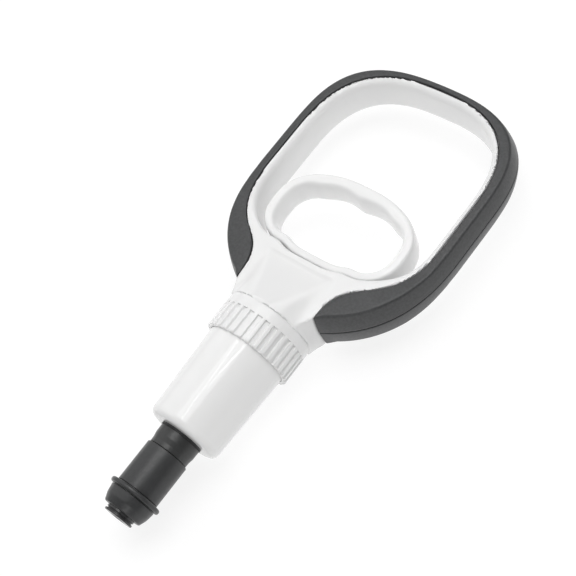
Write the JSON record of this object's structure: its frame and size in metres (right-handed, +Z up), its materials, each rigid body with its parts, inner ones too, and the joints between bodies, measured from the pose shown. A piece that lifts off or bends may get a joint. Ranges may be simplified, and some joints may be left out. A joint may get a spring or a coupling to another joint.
{
  "type": "hand vacuum pump",
  "caption": "Hand-operated vacuum pump with a palm loop, a finger pull ring, a tapered barrel under a ribbed collar and a short rubber-sleeved nozzle.",
  "frame": {"origin": "centre of the bottom of the bounding box, with the pump lying flat on its back: below the pump's axis, half way along it, at the level of the lowest rib of the collar", "axes": "+Y along the pump's axis from the nozzle tip to the top of the loop, +X across the width, +Z up out of the front face"},
  "size_m": [0.1026, 0.225, 0.039],
  "materials": {
    "white_plastic": "glossy moulded plastic",
    "barrel_plastic": "high gloss moulded plastic",
    "ring_plastic": "glossy moulded plastic",
    "grip_plastic": "fine spark texture, satin",
    "nozzle_plastic": "satin moulded plastic",
    "sleeve_rubber": "smooth soft rubber",
    "seal_rubber": "smooth moulded rubber",
    "inner_plastic": "natural moulded plastic",
    "rod_steel": "drawn bar"
  },
  "bodies": {
    "pump_body": {"handle_frame": "white_plastic", "front_grip_shell": "grip_plastic", "rear_grip_shell": "grip_plastic", "rod_bush": "inner_plastic", "wiper_ring": "seal_rubber", "collar_nut": "white_plastic", "barrel_gasket": "seal_rubber", "barrel": "barrel_plastic", "nozzle_gasket": "seal_rubber", "nozzle_tube": "nozzle_plastic", "valve_seat": "inner_plastic", "valve_cage": "inner_plastic", "nozzle_sleeve": "sleeve_rubber", "tip_ring": "nozzle_plastic"},
    "plunger": {"pull_ring": "ring_plastic", "piston_rod": "rod_steel", "piston_head": "inner_plastic", "piston_washer": "inner_plastic", "piston_screw": "rod_steel", "end_bumper": "seal_rubber"},
    "piston_seal": {"seal_ring": "seal_rubber"},
    "check_valve": {"valve_disc": "seal_rubber"}
  },
  "joints": [
    {"name": "pull_stroke", "type": "slide", "parent": "pump_body", "child": "plunger", "axis": [0, 1, 0], "range_m": [0, 0.042]},
    {"name": "seal_float", "type": "slide", "parent": "plunger", "child": "piston_seal", "axis": [0, 1, 0], "range_m": [0, 0.001]},
    {"name": "valve_lift", "type": "slide", "parent": "pump_body", "child": "check_valve", "axis": [0, 1, 0], "range_m": [0, 0.0009]}
  ]
}
